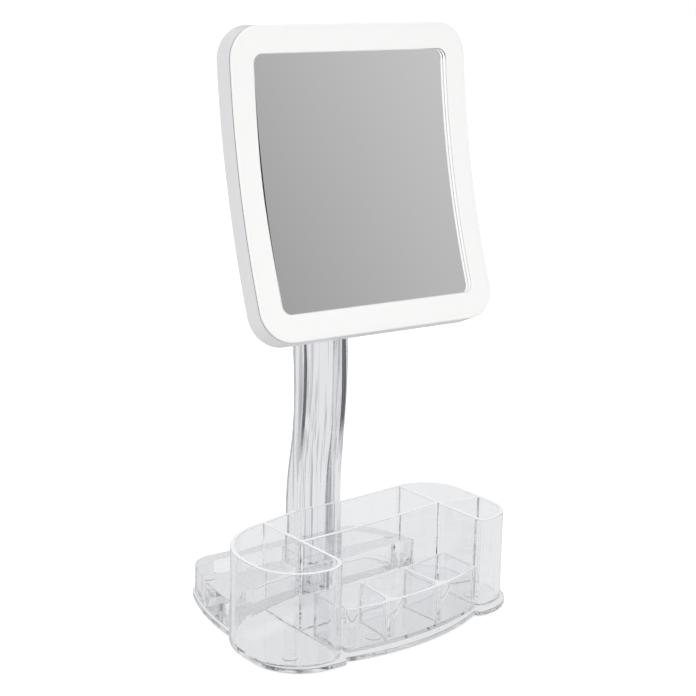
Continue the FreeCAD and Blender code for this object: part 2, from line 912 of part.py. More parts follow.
mirror_back = d.mirror_set_back + d.mirror_thickness
tape_back = mirror_back + d.tape_thickness
carrier_back = tape_back + d.carrier_wall
housing_front = d.bezel_edge + d.groove
housing_floor = d.head_depth - d.shell_wall
head_middle_y = d.pivot_y - d.pivot_depth * cosine(d.head_tilt)
head_middle_z = d.pivot_z + d.pivot_depth * sine(d.head_tilt)


def arc_angle(height):
    return height / d.bend_radius * DEGREES_PER_RADIAN


def place_on_head(piece, x=0.0, height=0.0):
    """Put a piece on the tilted head, square to the bend at that height."""
    angle = arc_angle(as_size(height))
    y = d.bend_radius * cosine(angle) - d.bend_radius
    z = d.bend_radius * sine(angle)
    tilt = d.head_tilt
    return place(
        piece,
        x,
        head_middle_y + y * cosine(tilt) + z * sine(tilt),
        head_middle_z - y * sine(tilt) + z * cosine(tilt),
        angle - tilt,
    )


def place_on_bend(piece, x, height):
    """Put a piece square to the bend in the head's own upright frame."""
    angle = arc_angle(as_size(height))
    y = d.bend_radius * cosine(angle) - d.bend_radius
    return place(piece, x, y, d.bend_radius * sine(angle), angle)


def bent_slab(name, width, low, high, front, back, x_middle=0.0):
    """A slab that follows the head's bend, from one height to another and one depth to another."""
    inner, outer = d.bend_radius + front, d.bend_radius + back
    ends = [arc_angle(as_size(low)), arc_angle(as_size(high))]
    corners = [
        [radius * cosine(angle) - d.bend_radius, radius * sine(angle)]
        for radius, angle in ((inner, ends[0]), (outer, ends[0]), (outer, ends[1]), (inner, ends[1]))
    ]
    corners[1].append(outer)
    corners[3].append(-inner)
    body = new_body(name)
    sketch = sketch_on(body, "YZ_Plane", x_middle)
    draw_loop(sketch, corners)
    pad(body, sketch, width, symmetric=True)
    return body


def edge_ends(edge):
    return [vertex.Point for vertex in edge.Vertexes]


def round_slab_corners(body, radius):
    """Round the four edges that run through the slab's thickness."""
    names = []
    for number, edge in enumerate(body.Shape.Edges, start=1):
        ends = edge_ends(edge)
        straight = isinstance(edge.Curve, Part.Line)
        if straight and len(ends) == 2 and abs(ends[0].x - ends[1].x) < NEAR:
            names.append("Edge%d" % number)
    fillet(body, names, radius)


def round_slab_face(body, depth, radius):
    """Round all the edges of the slab's face at one depth."""
    distance = d.bend_radius.value + as_size(depth).value
    names = []
    for number, edge in enumerate(body.Shape.Edges, start=1):
        middle = edge.valueAt((edge.FirstParameter + edge.LastParameter) / 2)
        points = edge_ends(edge) + [middle]
        if all(abs(math.hypot(p.y + d.bend_radius.value, p.z) - distance) < NEAR for p in points):
            names.append("Edge%d" % number)
    fillet(body, names, radius)


def head_slab(name, inset, front, back):
    """A slab with the head's outline, drawn in by the inset all round."""
    half = d.head_height / 2 - inset
    body = bent_slab(name, d.head_width - inset * 2, -half, half, front, back)
    round_slab_corners(body, d.head_round - inset)
    return body


def view_slab(name, overlap, front, back, corner):
    """A slab with the outline of the mirror's visible part, let out by the overlap all round."""
    half = d.head_height / 2 - d.frame_end + overlap
    body = bent_slab(name, d.head_width - (d.frame_side - overlap) * 2, -half, half, front, back)
    round_slab_corners(body, corner)
    return body


def slab_y(name, corners, front, back):
    """A flat slab, drawn as seen from the front and filled between two depths."""
    body = new_body(name)
    sketch = sketch_on(body, "XZ_Plane", -as_size(back))
    draw_loop(sketch, corners)
    pad(body, sketch, back - front)
    return body


def pocket_y(body, corners, front, back):
    """A flat recess between two depths."""
    sketch = sketch_on(body, "XZ_Plane", -as_size(back))
    draw_loop(sketch, corners)
    pocket(body, sketch, back - front, upwards=True)


def bar_y(name, diameter, front, back, bore=None):
    """A round bar, or a tube, through the head's thickness."""
    body = new_body(name)
    sketch = sketch_on(body, "XZ_Plane", -as_size(back))
    draw_circle(sketch, 0.0, 0.0, diameter)
    if bore is not None:
        draw_circle(sketch, 0.0, 0.0, bore)
    pad(body, sketch, back - front)
    return body


def on_bend(name, places, maker):
    """The same piece at several places of the bend."""
    pieces = []
    for number, (x, height) in enumerate(places, start=1):
        pieces.append(place_on_bend(maker("%s_%d" % (name, number)), x, height))
    return group(name, pieces)


def corner_places(x, height):
    return [(x * across, height * up) for across in (-1.0, 1.0) for up in (-1.0, 1.0)]


def housing_screw_places():
    inset = d.housing_screw_inset
    return corner_places(
        d.head_width / 2 - d.frame_side - inset, d.head_height / 2 - d.frame_end - inset
    )


def knuckle_screw_places():
    return corner_places(d.knuckle_screw_x, d.knuckle_screw_z)


def board_screw_places():
    return [(board_x + d.board_screw_x * sign, board_height) for sign in (-1.0, 1.0)]


board_x = d.head_width / 2 - d.board_inside_right
board_height = d.board_above_bottom - d.head_height / 2
box_height = d.knuckle_foot_height / 2 + d.box_above_foot + d.box_tall / 2
button_flange_back = housing_floor - d.seat_gap
button_flange_front = button_flange_back - d.button_flange_thickness
switch_back = button_flange_front - d.button_travel - d.seat_gap
board_back = switch_back - d.switch_height
board_front = board_back - d.board_thickness
screw_pad_front = housing_floor - d.screw_head_height
box_front = carrier_back + d.seat_gap
cell_room_front = box_front + d.box_floor
slot_front = cell_room_front + d.cell_diameter + d.cell_gap * 2
slot_back = slot_front + d.door_thickness + d.door_gap * 2
box_back = slot_back + d.door_lip


def rear_housing():
    """The grey back shell: bent, rounded at the back, with a raised lip for the bezel."""
    back, floor_middle = d.head_depth, d.head_depth - d.shell_wall / 2
    outer = head_slab("housing_outer", as_size(0.0), housing_front, back)
    round_slab_face(outer, back, d.head_back_round)
    lip = head_slab("housing_lip", d.lip_inset, d.bezel_edge, housing_front + d.shell_wall)
    cavity = head_slab("housing_cavity", d.shell_wall, d.bezel_edge - d.shell_wall, housing_floor)
    shell = cut("housing_shell", fuse("housing_block", [outer, lip]), cavity)
    knuckle_boss_front = back + d.knuckle_foot_thickness - d.knuckle_screw_length - d.seat_gap

    def bosses(name, places, front):
        return on_bend(name, places, lambda piece: bar_y(piece, d.boss_diameter, front, floor_middle))

    def holes(name, places, diameter, front, end):
        return on_bend(name, places, lambda piece: bar_y(piece, diameter, front, end))

    added = fuse("housing_with_bosses", [
        shell,
        bosses("screw_pads", housing_screw_places(), screw_pad_front),
        bosses("knuckle_bosses", knuckle_screw_places(), knuckle_boss_front),
        bosses("board_bosses", board_screw_places(), board_back),
    ])
    front, far = as_size(0.0), back * 2
    clear = d.screw_diameter + d.screw_gap * 2
    sink = d.screw_head_diameter + d.screw_gap * 2
    bite = d.screw_diameter + d.thread_gap * 2
    half_x, half_z = d.box_width / 2 + d.box_fit, d.box_tall / 2 + d.box_fit
    window = slab_y("box_window", rectangle(-half_x, half_x, -half_z, half_z), front, far)
    place_on_bend(window, 0.0, box_height)
    button_hole = bar_y("button_hole", d.button_diameter + d.button_gap * 2, front, far)
    place_on_bend(button_hole, board_x, board_height)
    tools = group("housing_tools", [
        window,
        button_hole,
        holes("clear_holes", housing_screw_places(), clear, front, far),
        holes("head_recesses", housing_screw_places(), sink, housing_floor, far),
        holes("knuckle_holes", knuckle_screw_places(), bite, front, far),
        holes("board_holes", board_screw_places(), bite, front, board_front + d.board_screw_length),
    ])
    return place_on_head(cut("rear_housing", added, tools))


def front_bezel():
    """The white light frame: a thin edge over the housing's lip, a deeper step inside it, and a
    rebate for the mirror behind the opening."""
    edge = head_slab("bezel_edge", as_size(0.0), as_size(0.0), d.bezel_edge)
    round_slab_face(edge, as_size(0.0), d.bezel_front_round)
    step = head_slab("bezel_step", d.shell_wall + d.bezel_fit, d.bezel_edge / 2, d.bezel_depth)
    frame = fuse("bezel_block", [edge, step])
    opening = view_slab("bezel_opening", as_size(0.0), -d.bezel_depth, d.bezel_depth * 2, d.view_round)
    rebate = view_slab(
        "bezel_rebate", d.mirror_overlap + d.mirror_gap, d.mirror_set_back, d.bezel_depth * 2,
        d.view_round + d.mirror_overlap,
    )
    return place_on_head(cut("front_bezel", frame, group("bezel_tools", [opening, rebate])))


def mirror_glass():
    """The mirror sheet, bent with the head."""
    front = d.mirror_set_back + d.seat_gap
    corner = d.view_round + d.mirror_overlap
    return place_on_head(view_slab("mirror_glass", d.mirror_overlap, front, mirror_back, corner))


def mirror_tape():
    """The foam sheet between the mirror and its carrier."""
    return place_on_head(view_slab(
        "mirror_tape", -d.tape_inset, mirror_back + d.seat_gap, tape_back - d.seat_gap, d.view_round
    ))


def mirror_carrier():
    """A shallow tray, upside down over the electronics, that carries the mirror."""
    corner = d.view_round + d.carrier_overlap
    block = view_slab("carrier_block", d.carrier_overlap, tape_back, housing_floor, corner)
    inside = d.carrier_overlap - d.carrier_wall
    hollow = view_slab("carrier_hollow", inside, carrier_back, d.head_depth, d.view_round + inside)
    posts = on_bend("carrier_posts", housing_screw_places(), lambda name: bar_y(
        name, d.boss_diameter, tape_back + d.carrier_wall / 2, screw_pad_front - d.seat_gap))
    solid = fuse("carrier_solid", [cut("carrier_tray", block, hollow), posts])
    holes = on_bend("carrier_holes", housing_screw_places(), lambda name: bar_y(
        name, d.screw_diameter + d.thread_gap * 2, carrier_back, d.head_depth))
    return place_on_head(cut("mirror_carrier", solid, holes))


def screws_on_head(name, places, depth, length, forwards=True):
    """Screws through the head's thickness: heads at one depth, pointing to the front or the back."""
    pieces = []
    for number, (x, height) in enumerate(places, start=1):
        piece = screw("%s_%d" % (name, number), length)
        stand = doc.addObject("Part::Compound", "%s_stand_%d" % (name, number))
        stand.Links = [place(piece, 0.0, depth, 0.0, -90.0 if forwards else 90.0)]
        pieces.append(place_on_bend(stand, x, height))
    return place_on_head(group(name, pieces))


def housing_screws():
    return screws_on_head("housing_screws", housing_screw_places(), housing_floor, d.housing_screw_length)


def knuckle_screws():
    depth = d.head_depth + d.knuckle_foot_thickness
    return screws_on_head("knuckle_screws", knuckle_screw_places(), depth, d.knuckle_screw_length)


def board_screws():
    return screws_on_head("board_screws", board_screw_places(), board_front, d.board_screw_length, False)


def head_knuckle():
    """The head's half of the hinge: a foot that follows the bend, and a lug round the pin."""
    half = d.knuckle_foot_height / 2
    foot_back = d.head_depth + d.knuckle_foot_thickness
    foot = bent_slab("knuckle_foot", d.knuckle_foot_width, -half, half, d.head_depth, foot_back)
    round_slab_corners(foot, d.knuckle_foot_thickness)
    radius = d.knuckle_radius
    lug = new_body("knuckle_lug")
    sketch = sketch_on(lug, "YZ_Plane")
    draw_loop(sketch, [
        (d.head_depth + d.knuckle_foot_thickness / 2, -radius),
        (d.pivot_depth, -radius, radius),
        (d.pivot_depth + radius, 0.0, radius),
        (d.pivot_depth, radius),
        (d.head_depth + d.knuckle_foot_thickness / 2, radius),
    ])
    pad(lug, sketch, d.knuckle_half_width * 2, symmetric=True)
    bore = new_body("knuckle_bore")
    sketch = sketch_on(bore, "YZ_Plane")
    draw_circle(sketch, d.pivot_depth, 0.0, d.pin_diameter + d.pin_fit * 2)
    pad(bore, sketch, d.knuckle_half_width * 4, symmetric=True)
    holes = on_bend("knuckle_foot_holes", knuckle_screw_places(), lambda name: bar_y(
        name, d.screw_diameter + d.screw_gap * 2, d.head_depth / 2, d.head_depth * 2))
    solid = fuse("knuckle_solid", [foot, lug])
    return place_on_head(cut("head_knuckle", solid, group("knuckle_tools", [bore, holes])))


# ---------------------------------------------------------------- lights and switch

def strip_x():
    """The side strips run midway between the mirror's carrier and the housing's wall."""
    return d.head_width / 2 - (d.shell_wall + d.frame_side - d.carrier_overlap) / 2


def strip_height():
    return d.head_height / 2 - (d.shell_wall + d.frame_end - d.carrier_overlap) / 2


def led_strips():
    """Four strips round the mirror, flat on the housing's floor."""
    front = housing_floor - d.strip_thickness
    half = d.strip_width / 2
    side_run = strip_height() - d.head_round
    end_run = (strip_x() - d.head_round) * 2
    strips = []
    for number, sign in enumerate((-1.0, 1.0), start=1):
        name, middle = "side_strip_%d" % number, strip_x() * sign
        strips.append(bent_slab(name, d.strip_width, -side_run, side_run, front, housing_floor, middle))
        name, level = "end_strip_%d" % number, strip_height() * sign
        strips.append(bent_slab(name, end_run, level - half, level + half, front, housing_floor))
    return place_on_head(group("led_strips", strips))


def led_places():
    """LEDs at an even pitch along each strip, clear of its ends."""
    places = []
    across, up, pitch = strip_x().value, strip_height().value, d.led_pitch.value
    for run, side in ((up - d.head_round.value, True), (across - d.head_round.value, False)):
        count = int((run - pitch / 4) / pitch)
        for number in range(-count, count + 1):
            for sign in (-1, 1):
                places.append((sign * across, number * pitch) if side else (number * pitch, sign * up))
    return places


def leds():
    """One small block per LED, each square to the bend."""
    back = (housing_floor - d.strip_thickness).value
    wide, deep, tall = d.led_width.value, d.led_height.value, d.led_length.value
    radius = d.bend_radius.value
    blocks = []
    for x, height in led_places():
        block = Part.makeBox(wide, deep, tall, FreeCAD.Vector(x - wide / 2, back - deep, -tall / 2))
        block.rotate(FreeCAD.Vector(0, -radius, 0), AXIS_X, math.degrees(height / radius))
        blocks.append(block)
    feature = doc.addObject("Part::Feature", "leds")
    feature.Label = "leds"
    feature.Shape = Part.makeCompound(blocks)
    return place_on_head(feature)


def driver_board():
    """The light's circuit board, on two bosses behind the mirror."""
    half_x, half_z = d.board_width / 2, d.board_tall / 2
    board = slab_y("driver_board", rectangle(-half_x, half_x, -half_z, half_z), board_front, board_back)
    holes = sketch_on(board, "XZ_Plane", -board_back)
    for sign in (-1.0, 1.0):
        draw_circle(holes, d.board_screw_x * sign, 0.0, d.screw_diameter + d.screw_gap * 2)
    pocket(board, holes, d.board_thickness, upwards=True)
    return place_on_head(board, board_x, board_height)


def tact_switch():
    half = d.switch_side / 2
    block = slab_y("tact_switch", rectangle(-half, half, -half, half), board_back, switch_back)
    return place_on_head(block, board_x, board_height)


def power_button():
    """A round cap through the housing's back, kept in by its flange."""
    body = new_body("power_button")
    flange = sketch_on(body, "XZ_Plane", -button_flange_back)
    draw_circle(flange, 0.0, 0.0, d.button_diameter + (d.button_gap + d.button_flange) * 2)
    pad(body, flange, d.button_flange_thickness)
    cap = sketch_on(body, "XZ_Plane", -(d.head_depth + d.button_proud))
    draw_circle(cap, 0.0, 0.0, d.button_diameter)
    pad(body, cap, d.head_depth + d.button_proud - button_flange_front)
    return place_on_head(body, board_x, board_height)


# ---------------------------------------------------------------- battery box

def box_cavity():
    return d.box_width / 2 - d.box_wall - d.door_overlap, d.box_tall / 2 - d.box_wall


def battery_box():
    """An open box for four cells, let into the back, with rails for its sliding door."""
    half_x, half_z = d.box_width / 2, d.box_tall / 2
    cell_x, cell_z = box_cavity()
    slot_x = half_x - d.box_wall
    open_top = half_z + d.box_wall
    body = slab_y("battery_box", rectangle(-half_x, half_x, -half_z, half_z), box_front, box_back)
    pocket_y(body, rectangle(-cell_x, cell_x, -cell_z, cell_z), cell_room_front, box_back)
    slot_bottom = -cell_z - d.door_overlap / 2
    pocket_y(body, rectangle(-slot_x, slot_x, slot_bottom, open_top), slot_front, slot_back)
    pocket_y(body, rectangle(-cell_x, cell_x, -cell_z, open_top), slot_back, box_back)
    return place_on_head(body, 0.0, box_height)


def battery_door():
    """The door that slides up out of the box's rails, with two grip ribs."""
    cell_x, cell_z = box_cavity()
    side = d.box_width / 2 - d.box_wall - d.door_gap
    bottom = -cell_z - d.door_overlap / 2 + d.door_gap
    top = d.box_tall / 2
    body = slab_y("battery_door", rectangle(-side, side, bottom, top), slot_front + d.door_gap,
                  slot_back - d.door_gap)
    grip_half = d.grip_width / 2
    for number in (1.0, 2.0):
        rib_top = top - d.grip_pitch * number
        rib = sketch_on(body, "XZ_Plane", -(box_back - d.door_gap))
        draw_loop(rib, rectangle(-grip_half, grip_half, rib_top - d.grip_height, rib_top))
        pad(body, rib, box_back - slot_back)
    return place_on_head(body, 0.0, box_height)


def cell_heights():
    return [d.cell_pitch * (number - (CELLS - 1) / 2) for number in range(CELLS)]


def cell_depth():
    return cell_room_front + d.cell_gap + d.cell_diameter / 2


def battery_cells():
    """Four cells side by side, turned end for end in turn."""
    cells = []
    for number, height in enumerate(cell_heights()):
        sign = 1.0 if number % 2 == 0 else -1.0
        body = new_body("battery_cell_%d" % (number + 1))
        barrel = sketch_on(body, "YZ_Plane")
        draw_circle(barrel, cell_depth(), height, d.cell_diameter)
        pad(body, barrel, d.cell_length, symmetric=True)
        end = d.cell_length / 2
        start = end if sign > 0 else -end - d.cell_nipple_length
        nipple = sketch_on(body, "YZ_Plane", start)
        draw_circle(nipple, cell_depth(), height, d.cell_nipple_diameter)
        pad(body, nipple, d.cell_nipple_length)
        cells.append(body)
    return place_on_head(group("battery_cells", cells), 0.0, box_height)


def contact_plates():
    """A sprung metal plate at each end of the cells, with a raised stud for each nipple."""
    cell_x, cell_z = box_cavity()
    plates = []
    for side in (-1.0, 1.0):
        body = new_body("contact_plate_%d" % (1 if side < 0 else 2))
        edge = cell_x if side > 0 else -cell_x + d.contact_thickness
        front, back = cell_room_front + d.cell_gap, slot_front - d.cell_gap
        sketch = sketch_on(body, "YZ_Plane", edge - d.contact_thickness)
        draw_loop(sketch, rectangle(front, back, -cell_z + d.cell_gap, cell_z - d.cell_gap))
        pad(body, sketch, d.contact_thickness)
        stud_length = cell_x - d.contact_thickness - d.cell_length / 2 - d.cell_nipple_length
        for number, height in enumerate(cell_heights()):
            if (number % 2 == 0) != (side > 0):
                continue
            start = edge - d.contact_thickness - stud_length if side > 0 else edge
            stud = sketch_on(body, "YZ_Plane", start)
            draw_circle(stud, cell_depth(), height, d.cell_nipple_diameter)
            pad(body, stud, stud_length)
        plates.append(body)
    return place_on_head(group("contact_plates", plates), 0.0, box_height)


def contact_springs():
    """A conical spring behind each cell's flat end, drawn as its outer cone."""
    cell_x, cell_z = box_cavity()
    springs = []
    length = cell_x - d.contact_thickness - d.cell_length / 2
    for number, height in enumerate(cell_heights()):
        side = -1.0 if number % 2 == 0 else 1.0
        cone = doc.addObject("Part::Cone", "contact_spring_%d" % (number + 1))
        bind(cone, "Radius1", d.spring_wide / 2)
        bind(cone, "Radius2", d.spring_narrow / 2)
        bind(cone, "Height", length)
        x = (cell_x - d.contact_thickness) * side
        turn = FreeCAD.Rotation(FreeCAD.Vector(0, 1, 0), -90.0 * side)
        cone.Placement = FreeCAD.Placement(FreeCAD.Vector(0, 0, 0), turn)
        bind(cone, "Placement.Base.x", x)
        bind(cone, "Placement.Base.y", cell_depth())
        bind(cone, "Placement.Base.z", height)
        springs.append(cone)
    return place_on_head(group("contact_springs", springs), 0.0, box_height)


# ---------------------------------------------------------------- build and write

def build_all():
    return [
        organiser_base(), foot_pads(), drawer_tray(), stand_post(), post_screws(),
        hinge_bracket(), bracket_screws(), hinge_pin(), hinge_nut(), friction_washers(),
        rear_housing(), front_bezel(), mirror_glass(), mirror_tape(), mirror_carrier(),
        housing_screws(), head_knuckle(), knuckle_screws(), led_strips(), leds(),
        driver_board(), board_screws(), tact_switch(), power_button(),
        battery_box(), battery_door(), battery_cells(), contact_plates(), contact_springs(),
    ]


def check(parts):
    """Stop if any feature failed or any sub-part isn't a valid shape."""
    for thing in doc.Objects:
        if "Invalid" in thing.State or "Error" in thing.State:
            raise ValueError("%s failed: %s" % (thing.Name, thing.State))
    for part in parts:
        if part.Shape.isNull() or not part.Shape.isValid() or not part.Shape.Solids:
            raise ValueError("%s has no valid shape" % part.Label)


def write(parts):
    os.makedirs("parts", exist_ok=True)
    for part in parts:
        part.Shape.exportStep("parts/%s.step" % part.Label)


sub_parts = build_all()
doc.recompute()
check(sub_parts)
write(sub_parts)
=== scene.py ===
import math

import bpy
from mathutils import Matrix, Vector


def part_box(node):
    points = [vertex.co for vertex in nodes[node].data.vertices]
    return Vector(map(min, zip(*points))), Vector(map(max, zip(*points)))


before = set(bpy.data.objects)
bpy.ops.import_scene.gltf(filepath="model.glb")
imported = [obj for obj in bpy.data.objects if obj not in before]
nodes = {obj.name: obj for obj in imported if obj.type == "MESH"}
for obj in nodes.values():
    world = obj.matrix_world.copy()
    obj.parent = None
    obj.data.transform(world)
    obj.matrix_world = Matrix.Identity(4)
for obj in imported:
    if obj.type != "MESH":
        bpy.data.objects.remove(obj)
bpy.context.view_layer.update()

# Lengths are in metres and places are in the frame's own axes: +Z up, -Y towards the person at the mirror.
MM = 0.001


# ---------------------------------------------------------------- camera

# The place and the angles, in degrees, of the photographer's camera.
CAMERA_PLACE = Vector((-0.6239, -0.8377, 0.4107))
CAMERA_YAW = 36.61
CAMERA_PITCH = 13.31
CAMERA_ROLL = 1.32
CAMERA_LENS = 92.99
SENSOR_WIDTH = 36.0
CAMERA_CLIP = (0.01, 50.0)


def add_camera():
    yaw, pitch, roll = (math.radians(a) for a in (CAMERA_YAW, CAMERA_PITCH, CAMERA_ROLL))
    forward = Vector((math.sin(yaw) * math.cos(pitch), math.cos(yaw) * math.cos(pitch), -math.sin(pitch)))
    level = Vector((math.cos(yaw), -math.sin(yaw), 0.0))
    upright = level.cross(forward)
    right = level * math.cos(roll) + upright * math.sin(roll)
    up = upright * math.cos(roll) - level * math.sin(roll)
    turn = Matrix((right, up, -forward)).transposed().to_4x4()
    camera = bpy.data.objects.new("camera", bpy.data.cameras.new("camera"))
    camera.matrix_world = Matrix.Translation(CAMERA_PLACE) @ turn
    camera.data.lens = CAMERA_LENS
    camera.data.sensor_width = SENSOR_WIDTH
    camera.data.sensor_fit = "HORIZONTAL"
    camera.data.clip_start, camera.data.clip_end = CAMERA_CLIP
    bpy.context.scene.collection.objects.link(camera)
    bpy.context.scene.camera = camera


# ---------------------------------------------------------------- node helpers

SURFACE_SAMPLES = 8


def grey(level):
    return (level, level, level, 1.0)


def new_material(name):
    material = bpy.data.materials.new(name)
    material.use_nodes = True
    tree = material.node_tree
    tree.nodes.clear()
    output = tree.nodes.new("ShaderNodeOutputMaterial")
    return material, tree, output


def finish(tree, output, shader):
    tree.links.new(shader, output.inputs["Surface"])


def feed(tree, value, socket):
    """Link another node's output to the socket, or set the socket to a plain value."""
    if isinstance(value, bpy.types.NodeSocket):
        tree.links.new(value, socket)
    else:
        socket.default_value = value


def principled(tree, **values):
    """A Principled BSDF with its sockets set by name, underscores for spaces."""
    shader = tree.nodes.new("ShaderNodeBsdfPrincipled")
    for name, value in values.items():
        shader.inputs[name.replace("_", " ")].default_value = value
    return shader


def math_node(tree, operation, *values):
    node = tree.nodes.new("ShaderNodeMath")
    node.operation = operation
    for socket, value in zip(node.inputs, values):
        feed(tree, value, socket)
    return node.outputs[0]


def times(tree, product, *factors):
    for factor in factors:
        product = math_node(tree, "MULTIPLY", product, factor)
    return product


def opposite(tree, mask):
    """1 where the mask is 0, and 0 where it is 1."""
    return math_node(tree, "SUBTRACT", 1.0, mask)


def vector_math(tree, operation, *values):
    node = tree.nodes.new("ShaderNodeVectorMath")
    node.operation = operation
    for socket, value in zip(node.inputs, values):
        feed(tree, value, socket)
    return node.outputs["Value" if operation == "DOT_PRODUCT" else "Vector"]


def map_range(tree, value, low, high, to_low=0.0, to_high=1.0):
    node = tree.nodes.new("ShaderNodeMapRange")
    tree.links.new(value, node.inputs["Value"])
    for name, number in (("From Min", low), ("From Max", high), ("To Min", to_low), ("To Max", to_high)):
        node.inputs[name].default_value = number
    return node.outputs["Result"]


def within(tree, value, low, high):
    """1 between the two limits, 0 outside them."""
    return times(tree, math_node(tree, "GREATER_THAN", value, low), math_node(tree, "LESS_THAN", value, high))


def axis_of(tree, vector, axis):
    node = tree.nodes.new("ShaderNodeSeparateXYZ")
    tree.links.new(vector, node.inputs[0])
    return node.outputs[axis]


def texture_place(tree, kind):
    return tree.nodes.new("ShaderNodeTexCoord").outputs[kind]


def object_place(tree, axis):
    return axis_of(tree, texture_place(tree, "Object"), axis)


def noise(tree, scale, detail=2.0, stretch=None):
    """Noise through the object, drawn out along each axis whose stretch is small."""
    place = texture_place(tree, "Object")
    if stretch:
        mapping = tree.nodes.new("ShaderNodeMapping")
        mapping.inputs["Scale"].default_value = stretch
        tree.links.new(place, mapping.inputs["Vector"])
        place = mapping.outputs["Vector"]
    node = tree.nodes.new("ShaderNodeTexNoise")
    node.inputs["Scale"].default_value = scale
    node.inputs["Detail"].default_value = detail
    tree.links.new(place, node.inputs["Vector"])
    return node.outputs["Fac"]


def two_tone(tree, factor, first, second):
    """A colour that runs from the first to the second as the factor runs from 0 to 1."""
    ramp = tree.nodes.new("ShaderNodeValToRGB")
    ramp.color_ramp.elements[0].color = first
    ramp.color_ramp.elements[1].color = second
    tree.links.new(factor, ramp.inputs["Fac"])
    return ramp.outputs["Color"]


def bump(tree, height, distance, strength):
    node = tree.nodes.new("ShaderNodeBump")
    node.inputs["Distance"].default_value = distance
    node.inputs["Strength"].default_value = strength
    tree.links.new(height, node.inputs["Height"])
    return node.outputs["Normal"]


def bevelled_normal(tree, radius):
    """The surface's normal as if its edges were rounded off."""
    node = tree.nodes.new("ShaderNodeBevel")
    node.samples = SURFACE_SAMPLES
    node.inputs["Radius"].default_value = radius
    return node.outputs["Normal"]


def edge_mask(tree, radius, low, high):
    """1 at the very edge, falling to 0 on flat surfaces."""
    normal = tree.nodes.new("ShaderNodeNewGeometry").outputs["Normal"]
    flatness = vector_math(tree, "DOT_PRODUCT", bevelled_normal(tree, radius), normal)
    return opposite(tree, map_range(tree, flatness, low, high))


def openness(tree, distance, low, high):
    """1 where a surface is open, falling to 0 in grooves and gaps."""
    node = tree.nodes.new("ShaderNodeAmbientOcclusion")
    node.samples = SURFACE_SAMPLES
    node.inputs["Distance"].default_value = distance
    return map_range(tree, node.outputs["AO"], low, high)


def mix_shaders(tree, factor, first, second):
    node = tree.nodes.new("ShaderNodeMixShader")
    for socket, source in zip(node.inputs, (factor, first, second)):
        tree.links.new(source, socket)
    return node.outputs[0]


def add_shaders(tree, first, second):
    node = tree.nodes.new("ShaderNodeAddShader")
    tree.links.new(first, node.inputs[0])
    tree.links.new(second, node.inputs[1])
    return node.outputs[0]


def transparent(tree):
    return tree.nodes.new("ShaderNodeBsdfTransparent").outputs[0]


def glow(tree, kind, strength, colour):
    """An Emission shader or a world's Background."""
    node = tree.nodes.new(kind)
    node.inputs["Color"].default_value = colour
    feed(tree, strength, node.inputs["Strength"])
    return node.outputs[0]


# ---------------------------------------------------------------- clear parts

EDGE_SOFTNESS = 0.5 * MM

# The ledge behind stays clear: only rims that rise above it get a painted white highlight, by how far they face up.
LEDGE_RIM = 20 * MM
WHITE_FROM = (LEDGE_RIM + 2 * MM, LEDGE_RIM + 4 * MM)
RIM_FACING = (0.80, 0.99)
RIM_HIGHLIGHT_SHARE = 0.6

# Painted shade on the post: dark streaks that stand for the lines refraction draws in it, fine across it and drawn
# out along it. Its paler tone is also greyer than the other clear parts, painted shade for its thickness.
STREAK_STRETCH = (1.0, 0.35, 0.012)
STREAK_SCALE = 800.0
STREAK_EDGES = (0.57, 0.63)
PAINTED_STREAK_SHADE = (0.46, 0.465, 0.49, 1.0)
POST_COLOUR = (0.90, 0.905, 0.915, 1.0)

# How far the post's foot reaches past its screws, the room round it, and the skin within which parts are seated.
FOOT_REACH = 4 * MM
SEAT_ROOM = 0.4 * MM
SEAT_SKIN = 0.01 * MM


def seated(tree):
    """1 where clear parts sit face to face: the post on its socket's floor, and the organiser on its pads."""
    x, y, z = (object_place(tree, axis) for axis in "XYZ")
    post_low, post_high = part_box("stand_post")
    screws_low, screws_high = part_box("post_screws")
    pads_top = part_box("foot_pads")[1].z
    side = post_high.x + SEAT_ROOM
    reach = FOOT_REACH + SEAT_ROOM
    under_post = times(
        tree,
        within(tree, x, -side, side),
        within(tree, y, screws_low.y - reach, screws_high.y + reach),
        within(tree, z, post_low.z - SEAT_SKIN, post_low.z + SEAT_SKIN),
    )
    over_pads = within(tree, z, pads_top - SEAT_SKIN, pads_top + SEAT_SKIN)
    return math_node(tree, "MAXIMUM", under_post, over_pads)


def let_through(tree, shader):
    """The shader, but for seated faces, which let light pass straight from one part into the next."""
    return mix_shaders(tree, seated(tree), shader, transparent(tree))


def clear_acrylic(name, lined=False):
    """Clear moulded plastic whose polished rims get a painted highlight, white and faintly glowing."""
    material, tree, output = new_material(name)
    clear = principled(
        tree, Base_Color=(0.972, 0.975, 0.98, 1.0), Transmission_Weight=1.0, IOR=1.47, Roughness=0.02,
    )
    if lined:
        # Painted shade: dark streaks down the post that stand for the lines refraction draws in it.
        lines = map_range(tree, noise(tree, STREAK_SCALE, 1.0, STREAK_STRETCH), *STREAK_EDGES)
        tree.links.new(two_tone(tree, lines, POST_COLOUR, PAINTED_STREAK_SHADE), clear.inputs["Base Color"])
    softened = bevelled_normal(tree, EDGE_SOFTNESS)
    worn = bump(tree, noise(tree, 60.0), 0.4 * MM, 0.15)
    tree.links.new(softened, worn.node.inputs["Normal"])
    tree.links.new(worn, clear.inputs["Normal"])
    # Painted highlight: a white, faintly glowing finish laid on the upward rims.
    white = principled(
        tree, Base_Color=(0.88, 0.885, 0.90, 1.0), Roughness=0.25,
        Emission_Color=grey(1.0), Emission_Strength=0.18,
    )
    upward = map_range(tree, axis_of(tree, softened, "Z"), *RIM_FACING)
    above_ledge = map_range(tree, object_place(tree, "Z"), *WHITE_FROM)
    painted_rim_highlight = times(tree, upward, above_ledge, RIM_HIGHLIGHT_SHARE)
    finish(tree, output, let_through(tree, mix_shaders(tree, painted_rim_highlight, clear.outputs[0], white.outputs[0])))
    return material


